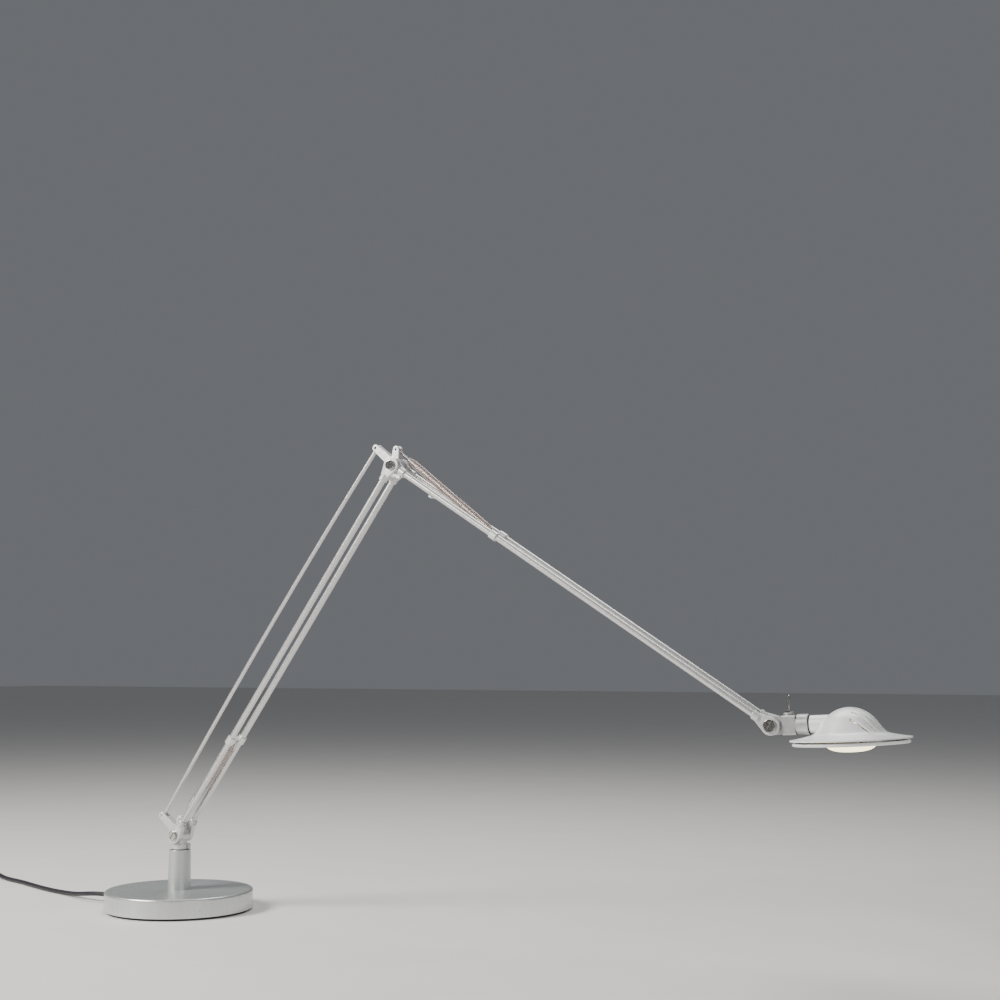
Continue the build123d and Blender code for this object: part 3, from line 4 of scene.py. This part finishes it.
import bpy
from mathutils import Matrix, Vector


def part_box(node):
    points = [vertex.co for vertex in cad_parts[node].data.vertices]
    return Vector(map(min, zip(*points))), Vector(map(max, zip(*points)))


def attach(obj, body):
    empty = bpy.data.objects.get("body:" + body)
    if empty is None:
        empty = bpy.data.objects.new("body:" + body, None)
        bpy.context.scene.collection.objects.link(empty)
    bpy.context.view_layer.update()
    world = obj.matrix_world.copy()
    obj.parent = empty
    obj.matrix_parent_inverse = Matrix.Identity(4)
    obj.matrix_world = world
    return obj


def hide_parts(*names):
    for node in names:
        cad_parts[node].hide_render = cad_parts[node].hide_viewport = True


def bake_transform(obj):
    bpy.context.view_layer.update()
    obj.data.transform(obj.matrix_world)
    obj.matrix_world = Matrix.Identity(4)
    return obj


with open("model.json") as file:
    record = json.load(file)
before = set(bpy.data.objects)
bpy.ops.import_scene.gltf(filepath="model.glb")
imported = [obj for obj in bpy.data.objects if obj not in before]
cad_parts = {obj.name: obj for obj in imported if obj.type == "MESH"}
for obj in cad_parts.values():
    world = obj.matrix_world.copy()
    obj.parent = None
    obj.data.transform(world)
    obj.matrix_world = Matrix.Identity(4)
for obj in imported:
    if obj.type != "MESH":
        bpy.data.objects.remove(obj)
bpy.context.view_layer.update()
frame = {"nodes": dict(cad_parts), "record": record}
NODES = frame["nodes"]
SCENE = bpy.context.scene

# Camera -------------------------------------------------------------------------------------------

FOCAL_LENGTH = 55.67
CAMERA_PLACE = (1.1626, -1.4031, 0.2789)
CAMERA_TURN = (-0.47190, 0.88165)
CAMERA_RISE = radians(5.96)

camera_data = bpy.data.cameras.new("camera")
camera_data.sensor_width = 36.0
camera_data.lens = FOCAL_LENGTH
camera = bpy.data.objects.new("camera", camera_data)
SCENE.collection.objects.link(camera)
camera.location = CAMERA_PLACE
heading = Vector((CAMERA_TURN[0] * cos(CAMERA_RISE), CAMERA_TURN[1] * cos(CAMERA_RISE),
                  sin(CAMERA_RISE)))
camera.rotation_mode = "QUATERNION"
camera.rotation_quaternion = heading.to_track_quat("-Z", "Y")
camera_data.clip_start, camera_data.clip_end = 0.05, 50.0
SCENE.camera = camera

# Node material helpers ----------------------------------------------------------------------------


def new_material(name):
    material = bpy.data.materials.new(name)
    material.use_nodes = True
    tree = material.node_tree
    return material, tree, tree.nodes["Principled BSDF"]


def node(tree, kind, **settings):
    made = tree.nodes.new(kind)
    for key, value in settings.items():
        if key in made.inputs:
            made.inputs[key].default_value = value
        else:
            setattr(made, key, value)
    return made


def noise(tree, scale, detail=4.0, stretch=None):
    """Fractal noise in the object's own metres; stretch lengthens it along one axis."""
    place = node(tree, "ShaderNodeTexCoord")
    found = place.outputs["Object"]
    if stretch:
        mapping = node(tree, "ShaderNodeMapping")
        mapping.inputs["Scale"].default_value = stretch
        tree.links.new(found, mapping.inputs["Vector"])
        found = mapping.outputs["Vector"]
    made = node(tree, "ShaderNodeTexNoise", Scale=scale, Detail=detail)
    tree.links.new(found, made.inputs["Vector"])
    return made.outputs["Fac"]


def ramp(tree, source, low, high, at_low, at_high):
    """A two-stop colour ramp; at_low and at_high are colours or greys."""
    made = node(tree, "ShaderNodeValToRGB")
    made.color_ramp.elements[0].position = low
    made.color_ramp.elements[1].position = high
    for element, value in zip(made.color_ramp.elements, (at_low, at_high)):
        element.color = (*value, 1) if hasattr(value, "__len__") else (value, value, value, 1)
    tree.links.new(source, made.inputs["Fac"])
    return made.outputs["Color"]


def bump(tree, shader, source, distance, strength=1.0, before=None):
    made = node(tree, "ShaderNodeBump", Strength=strength, Distance=distance)
    tree.links.new(source, made.inputs["Height"])
    if before:
        tree.links.new(before, made.inputs["Normal"])
    tree.links.new(made.outputs["Normal"], shader.inputs["Normal"])
    return made.outputs["Normal"]


def edge_wear(tree, low, high):
    """Near 1 on worn outside corners, near 0 on flats."""
    place = node(tree, "ShaderNodeNewGeometry")
    return ramp(tree, place.outputs["Pointiness"], low, high, 0.0, 1.0)


def mix(tree, factor, a, b):
    """Colour a where factor is 0 and colour b where it is 1."""
    made = node(tree, "ShaderNodeMix", data_type="RGBA")
    tree.links.new(factor, made.inputs["Factor"])
    for socket, value in ((made.inputs[6], a), (made.inputs[7], b)):
        if isinstance(value, tuple):
            socket.default_value = (*value, 1)
        else:
            tree.links.new(value, socket)
    return made.outputs[2]


def satin_paint(name, colour, rough=0.38, metallic=0.55, flake=0.04):
    """Silver paint: fine flake in the colour, orange-peel bump, corners rubbed brighter."""
    material, tree, shader = new_material(name)
    darker = tuple(c * (1 - flake) for c in colour)
    lighter = tuple(min(1.0, c * (1 + flake)) for c in colour)
    flakes = ramp(tree, noise(tree, 2600.0, 2.0), 0.42, 0.62, darker, lighter)
    cloud = ramp(tree, noise(tree, 35.0, 5.0), 0.3, 0.7, 0.94, 1.0)
    clouded = node(tree, "ShaderNodeMix", data_type="RGBA", blend_type="MULTIPLY")
    clouded.inputs["Factor"].default_value = 1.0
    tree.links.new(flakes, clouded.inputs[6])
    tree.links.new(cloud, clouded.inputs[7])
    rubbed = tuple(min(1.0, c * 1.12) for c in colour)
    tree.links.new(mix(tree, edge_wear(tree, 0.52, 0.60), clouded.outputs[2], rubbed),
                   shader.inputs["Base Color"])
    shader.inputs["Metallic"].default_value = metallic
    tree.links.new(ramp(tree, noise(tree, 180.0, 4.0), 0.3, 0.7, rough - 0.05, rough + 0.06),
                   shader.inputs["Roughness"])
    bump(tree, shader, noise(tree, 1400.0, 2.0), 0.00001, 0.18)
    return material


def drawn_metal(name, colour, rough, along=(1, 1, 1), metallic=1.0, scratch=0.00002):
    """Bare metal with fine marks drawn out along one axis."""
    material, tree, shader = new_material(name)
    marks = noise(tree, 700.0, 5.0, along)
    dull = tuple(c * 0.86 for c in colour)
    tree.links.new(ramp(tree, marks, 0.35, 0.65, dull, colour), shader.inputs["Base Color"])
    shader.inputs["Metallic"].default_value = metallic
    tree.links.new(ramp(tree, marks, 0.3, 0.7, max(0.02, rough - 0.07), rough + 0.08),
                   shader.inputs["Roughness"])
    bump(tree, shader, marks, scratch, 0.4)
    return material


def moulded(name, colour, rough, grain=900.0, depth=0.00005, worn=1.5):
    """Moulded plastic or rubber with a spark-eroded grain and paler corners."""
    material, tree, shader = new_material(name)
    shade = ramp(tree, noise(tree, 60.0, 5.0), 0.3, 0.7,
                 tuple(c * 0.82 for c in colour), colour)
    pale = tuple(min(1.0, c * worn + 0.01) for c in colour)
    tree.links.new(mix(tree, edge_wear(tree, 0.53, 0.62), shade, pale),
                   shader.inputs["Base Color"])
    tree.links.new(ramp(tree, noise(tree, 300.0, 3.0), 0.3, 0.7, rough - 0.06, rough + 0.08),
                   shader.inputs["Roughness"])
    bump(tree, shader, noise(tree, grain, 3.0), depth, 0.5)
    return material


base_paint = satin_paint("base_paint", (0.60, 0.61, 0.60), 0.32, 0.72, 0.02)
cast_paint = satin_paint("cast_paint", (0.70, 0.70, 0.69), 0.36, 0.55)
wrist_paint = satin_paint("wrist_paint", (0.46, 0.46, 0.45), 0.38, 0.55)
head_paint = satin_paint("head_paint", (0.90, 0.90, 0.89), 0.36, 0.20)
tube_metal = drawn_metal("tube_metal", (0.74, 0.73, 0.71), 0.33, (1.0, 12.0, 1.0), 0.75)
rod_metal = drawn_metal("rod_metal", (0.76, 0.75, 0.73), 0.30, (1.0, 8.0, 1.0), 0.75)
chrome = drawn_metal("chrome", (0.46, 0.45, 0.42), 0.14)
steel = drawn_metal("zinc_steel", (0.55, 0.55, 0.56), 0.34)
spring_metal = drawn_metal("spring_metal", (0.66, 0.57, 0.53), 0.34)
iron = moulded("cast_iron", (0.10, 0.10, 0.105), 0.62, 500.0, 0.0003, 1.3)
foot_rubber = moulded("foot_rubber", (0.02, 0.02, 0.02), 0.75, 700.0, 0.0001)
jacket = moulded("cord_jacket", (0.018, 0.018, 0.022), 0.45, 1500.0, 0.00002, 1.6)
black = moulded("black_plastic", (0.03, 0.03, 0.032), 0.42)
holder_white = moulded("holder_white", (0.75, 0.74, 0.70), 0.55)
brass = drawn_metal("plug_brass", (0.80, 0.68, 0.42), 0.28)

PAINTED = {
    base_paint: "base_shell post",
    cast_paint: "turret_casting lower_arm_foot lower_arm_head elbow_bracket upper_arm_root "
                "upper_arm_tip lower_spring_bridge upper_spring_bridge upper_tube_tie neck_spigot",
    wrist_paint: "wrist_block",
    head_paint: "head_shell reflector_disc",
    tube_metal: "lower_tube_near lower_tube_far upper_tube_near upper_tube_far disc_spacers",
    rod_metal: "tie_rod",
    chrome: "lower_arm_screws wrist_screws lower_arm_axles wrist_axle switch_nut swivel_stop_pin "
            "turret_pins elbow_pins lower_grub_screws upper_grub_screws switch_lever",
    steel: "base_plate plate_screws post_nut stem_clip spigot_clip lower_arm_washers wrist_washers",
    iron: "ballast_disc transformer_block",
    foot_rubber: "foot_pad",
    black: "cord_gland swivel_bush neck_bush switch_module",
    holder_white: "lamp_holder",
    brass: "plug_pins",
}


def assign(name, material):
    """Give a CAD node its material."""
    NODES[name].data.materials.clear()
    NODES[name].data.materials.append(material)


for material, names in PAINTED.items():
    for name in names.split():
        assign(name, material)

# Meshes swept along a line ------------------------------------------------------------------------


def swept(name, points, sections, sides, material, power=1.0):
    """A closed skin through one flattened ring per point.

    sections gives each ring's half width, level, and its half height, across that. A power under 1
    squares the rings.
    """
    verts, faces = [], []
    across = (points[1] - points[0]).cross(Vector((0, 0, 1)))
    if across.length < 1e-9:
        across = Vector((0, 1, 0))
    for index, (point, (half_width, half_height)) in enumerate(zip(points, sections)):
        ahead = points[min(index + 1, len(points) - 1)] - points[max(index - 1, 0)]
        ahead.normalize()
        across = (across - ahead * across.dot(ahead)).normalized()
        upward = across.cross(ahead)
        for side in range(sides):
            c, s = cos(tau * side / sides), sin(tau * side / sides)
            verts.append(point + across * half_width * copysign(abs(c) ** power, c)
                         + upward * half_height * copysign(abs(s) ** power, s))
    for ring in range(len(points) - 1):
        for side in range(sides):
            a, b = ring * sides + side, ring * sides + (side + 1) % sides
            faces.append((a, b, b + sides, a + sides))
    faces.append(tuple(range(sides - 1, -1, -1)))
    faces.append(tuple(range(len(verts) - sides, len(verts))))
    mesh = bpy.data.meshes.new(name)
    mesh.from_pydata(verts, [], faces)
    mesh.update()
    for polygon in mesh.polygons[:-2]:
        polygon.use_smooth = True
    mesh.materials.append(material)
    made = bpy.data.objects.new(name, mesh)
    SCENE.collection.objects.link(made)
    return made


# Springs ------------------------------------------------------------------------------------------

HORN = Vector((0.0015, 0, 0.0175))
PIN_RADIUS = 0.00125
WIRE_RADIUS = 0.0007
WIRE_SIDES = 8
COIL_MEAN_RADIUS = 0.0036
COIL_PITCH = 0.00172
COIL_STEPS = 18
HOOK_WIRE = 0.0170
ANCHOR_WIRE = 0.0055
STRAIGHT_LEAD = 0.002
LOWER_BRIDGE_REACH = 0.1305
UPPER_BRIDGE_REACH = 0.1465


def hook(centre, along, inward):
    """Points once round a pin, ending on the side that faces the coils."""
    upward = Vector((-along.z, 0, along.x))
    loop = WIRE_RADIUS + PIN_RADIUS
    return [centre + along * inward * loop * cos(angle) + upward * loop * sin(angle)
            for angle in (radians(330 - 22 * step) for step in range(16))]


def coil_spring(name, pivot, towards, bridge_reach, node_name):
    """A close-wound extension spring from the bracket's horn to the bridge on the arm."""
    arm = atan2(towards.z - pivot.z, towards.x - pivot.x)
    anchor = pivot + Vector((cos(arm), 0, sin(arm))) * bridge_reach
    horn = pivot + HORN
    along = (anchor - horn).normalized()
    upward = Vector((-along.z, 0, along.x))
    start = horn + along * HOOK_WIRE
    end = anchor - along * ANCHOR_WIRE
    span = (end - start).length
    points = hook(horn, along, 1)
    points += [horn + along * (PIN_RADIUS + 3 * WIRE_RADIUS), start - along * STRAIGHT_LEAD]
    steps = int(span / COIL_PITCH) * COIL_STEPS
    for step in range(steps + 1):
        share = step / steps
        swell = min(1.0, 12 * share, 12 * (1 - share)) ** 0.5
        angle = tau * step / COIL_STEPS
        outward = upward * sin(angle) + Vector((0, 1, 0)) * cos(angle)
        points.append(start + along * span * share + outward * COIL_MEAN_RADIUS * swell)
    points += [end + along * STRAIGHT_LEAD] + hook(anchor, along, -1)[::-1]
    rings = [(WIRE_RADIUS, WIRE_RADIUS)] * len(points)
    spring = swept(name, points, rings, WIRE_SIDES, spring_metal)
    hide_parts(node_name)
    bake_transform(spring)


PIVOTS = {joint["name"]: Vector(joint["pos_m"]) for joint in frame["record"]["behaviour"]["joints"]}
SHOULDER, ELBOW, WRIST = (PIVOTS[name] for name in
                          ("lower_arm_pivot", "upper_arm_pivot", "head_tilt"))
coil_spring("lower_coil_spring", SHOULDER, ELBOW, LOWER_BRIDGE_REACH,
            "lower_spring")
coil_spring("upper_coil_spring", ELBOW, WRIST, UPPER_BRIDGE_REACH,
            "upper_spring")

# Mains lead ---------------------------------------------------------------------------------------

CORD_RADIUS = 0.0026
EXIT_HEIGHT = 0.0095
RELIEF_RIBS = 9
RELIEF_SIDES = 32
RELIEF_ROOT_RADIUS = 0.0046
RELIEF_TAPER = 0.0014
RELIEF_GROOVE = 0.0006
relief_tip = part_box("strain_relief")[0].x
lead = [
    (relief_tip, 0, EXIT_HEIGHT), (-0.123, 0, EXIT_HEIGHT), (-0.144, 0.004, 0.0072),
    (-0.166, 0.012, 0.0044),
    (-0.190, 0.021, 0.0029), (-0.217, 0.0285, 0.00265), (-0.246, 0.039, 0.0026),
    (-0.277, 0.052, 0.00265), (-0.308, 0.066, 0.0026), (-0.340, 0.076, 0.00265),
    (-0.371, 0.092, 0.0026), (-0.400, 0.113, 0.00265),
]
tail = [
    (-0.4720, 0.066, 0.0055), (-0.469, 0.052, 0.0040), (-0.460, 0.040, 0.0042),
    (-0.445, 0.029, 0.0054), (-0.427, 0.024, 0.0054),
]

# The turns wind in along the table to the inner one, then the rest wind out on top of them.
COIL_CENTRE = Vector((-0.427, 0.080, 0.0))
LANE = 2 * CORD_RADIUS
OUTER, INNER = 0.0416, 0.0208
TURNS, POINTS_PER_TURN = 7.25, 20
LANES_CROSSED = 4
WIND_IN_TURNS, TURN_BACK, WIND_OUT_FROM, WIND_OUT_TURNS = 3.85, 3.6, 3.95, 3.4
CLIMB_FROM, CLIMB_TURNS = 3.55, 0.5
coil = []
for step in range(int(TURNS * POINTS_PER_TURN) + 1):
    turn = step / POINTS_PER_TURN
    if turn < TURN_BACK:
        rho = OUTER - LANE * turn * LANES_CROSSED / WIND_IN_TURNS
    else:
        rho = max(INNER, INNER + LANE * (turn - WIND_OUT_FROM) * LANES_CROSSED / WIND_OUT_TURNS)
    climb = min(1.0, max(0.0, (turn - CLIMB_FROM) / CLIMB_TURNS))
    height = CORD_RADIUS + LANE * climb * climb * (3 - 2 * climb)
    around = pi / 2 + tau * turn
    coil.append((COIL_CENTRE.x + rho * cos(around), COIL_CENTRE.y + rho * sin(around), height))
route = lead + coil + tail

# The ribbed strain relief tapers from the gland to the cord.
relief_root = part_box("strain_relief")[1].x
relief_line, relief_rings = [], []
for step in range(4 * RELIEF_RIBS + 1):
    share = step / (4 * RELIEF_RIBS)
    groove = RELIEF_GROOVE if step % 4 >= 2 else 0.0
    along = relief_root + (relief_tip - relief_root) * share
    relief_line.append(Vector((along, 0, EXIT_HEIGHT)))
    relief_rings.append((RELIEF_ROOT_RADIUS - RELIEF_TAPER * share - groove,) * 2)
relief = swept("ribbed_relief", relief_line, relief_rings, RELIEF_SIDES, jacket)
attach(relief, "base")
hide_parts("strain_relief")

# The moulded plug: a collar on the cord, finger ridges, and a broad flat face for the pins.
# PLUG_SHAPE gives each section's share of the length, then its half width and half height in mm.
PLUG_LENGTH = 0.034
PLUG_SIDES = 48
PLUG_SHAPE = [
    (0.0, 3.2, 3.2), (0.03, 4.0, 3.9), (0.12, 4.4, 4.1), (0.16, 5.2, 4.3), (0.30, 7.4, 4.7),
    (0.46, 10.2, 5.0), (0.62, 12.3, 5.15), (0.84, 14.2, 5.25), (0.95, 14.8, 5.25),
    (0.985, 14.7, 5.1), (1.0, 14.2, 4.7),
]
RINGS_PER_SECTION = 6
RIDGES_FROM, RIDGES_TO, RIDGE_PITCH, RIDGE_DEPTH = 0.30, 0.62, 0.064, 0.35
plug_start = Vector(tail[-1])
plug_end = plug_start + Vector((0.018, -0.005, 0)).normalized() * PLUG_LENGTH
plug_line, plug_rings = [], []
for (share, wide, high), (next_share, next_wide, next_high) in zip(PLUG_SHAPE, PLUG_SHAPE[1:]):
    for part in range(RINGS_PER_SECTION):
        t = part / RINGS_PER_SECTION
        at = share + (next_share - share) * t
        ridge = 0.0
        if RIDGES_FROM < at < RIDGES_TO:
            ridge = RIDGE_DEPTH * (0.5 + 0.5 * cos(tau * (at - RIDGES_FROM) / RIDGE_PITCH))
        plug_line.append(plug_start.lerp(plug_end, at))
        plug_rings.append(((wide + (next_wide - wide) * t - ridge) / 1000,
                           (high + (next_high - high) * t - ridge) / 1000))
plug_line.append(plug_end)
plug_rings.append((PLUG_SHAPE[-1][1] / 1000, PLUG_SHAPE[-1][2] / 1000))
plug_body = swept("plug_body", plug_line, plug_rings, PLUG_SIDES, black, power=0.7)
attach(plug_body, "base")
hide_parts("mains_plug")

cord_curve = bpy.data.curves.new("mains_cord", "CURVE")
cord_curve.dimensions = "3D"
spline = cord_curve.splines.new("NURBS")
spline.points.add(len(route) - 1)
for point, place in zip(spline.points, route):
    point.co = (*place, 1)
spline.order_u = 3
spline.use_endpoint_u = True
spline.resolution_u = 8
cord_curve.bevel_depth = CORD_RADIUS
cord_curve.bevel_resolution = 6
cord_curve.use_fill_caps = True
mains_cord = bpy.data.objects.new("mains_cord", cord_curve)
SCENE.collection.objects.link(mains_cord)
cord_curve.materials.append(jacket)
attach(mains_cord, "base")
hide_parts("power_cord", "cord_coil", "cord_tail")

# Lamp glass ---------------------------------------------------------------------------------------

lens_glow, tree, shader = new_material("lens_glow")
tree.links.new(ramp(tree, noise(tree, 240.0, 3.0), 0.3, 0.7, (0.95, 0.88, 0.66), (1.0, 0.95, 0.78)),
               shader.inputs["Base Color"])
tree.links.new(ramp(tree, noise(tree, 140.0, 2.0), 0.3, 0.7, (1.0, 0.84, 0.42), (1.0, 0.92, 0.58)),
               shader.inputs["Emission Color"])
shader.inputs["Emission Strength"].default_value = 3.0
shader.inputs["Roughness"].default_value = 0.35
bump(tree, shader, noise(tree, 900.0, 2.0), 0.00005, 0.4)
bowl_mirror = drawn_metal("bowl_mirror", (0.88, 0.87, 0.84), 0.12)
quartz, tree, shader = new_material("quartz")
tree.links.new(ramp(tree, noise(tree, 120.0, 2.0), 0.3, 0.7, (1.0, 0.93, 0.75), (1.0, 0.97, 0.85)),
               shader.inputs["Base Color"])
shader.inputs["Emission Color"].default_value = (1.0, 0.85, 0.55, 1)
shader.inputs["Emission Strength"].default_value = 6.0
for material, name in ((lens_glow, "front_lens"), (bowl_mirror, "reflector_bowl"),
                       (quartz, "halogen_bulb")):
    assign(name, material)

# Floor and light ----------------------------------------------------------------------------------

FLOOR_HALF = 12
floor_mesh = bpy.data.meshes.new("floor")
floor_mesh.from_pydata([(-FLOOR_HALF, -FLOOR_HALF, 0), (FLOOR_HALF, -FLOOR_HALF, 0),
                        (FLOOR_HALF, FLOOR_HALF, 0), (-FLOOR_HALF, FLOOR_HALF, 0)],
                       [], [(0, 1, 2, 3)])
floor = bpy.data.objects.new("floor", floor_mesh)
SCENE.collection.objects.link(floor)
floor_paint, tree, shader = new_material("floor_paint")
tree.links.new(ramp(tree, noise(tree, 9.0, 5.0), 0.3, 0.7, (0.74, 0.72, 0.69), (0.77, 0.75, 0.72)),
               shader.inputs["Base Color"])
shader.inputs["Roughness"].default_value = 0.6
floor_mesh.materials.append(floor_paint)

world = bpy.data.worlds.new("world")
world.use_nodes = True
sky = world.node_tree.nodes["Background"]
sky.inputs["Color"].default_value = (0.50, 0.52, 0.56, 1)
sky.inputs["Strength"].default_value = 0.30
SCENE.world = world


def area_light(name, place, aim, size, power, colour=(1, 1, 1)):
    data = bpy.data.lights.new(name, "AREA")
    data.shape = "RECTANGLE"
    data.size, data.size_y = size
    data.energy = power
    data.color = colour
    light = bpy.data.objects.new(name, data)
    SCENE.collection.objects.link(light)
    light.location = place
    light.rotation_mode = "QUATERNION"
    light.rotation_quaternion = (Vector(aim) - Vector(place)).to_track_quat("-Z", "Y")


area_light("key", (-0.9, -1.4, 1.5), (0.3, 0, 0.2), (0.8, 0.8), 78.0, (1.0, 0.99, 0.97))
area_light("fill", (1.9, -0.9, 0.9), (0.3, 0, 0.25), (1.2, 1.2), 7.0, (0.95, 0.97, 1.0))
area_light("top", (0.3, 0.7, 1.9), (0.3, 0, 0.1), (1.6, 1.0), 22.0)
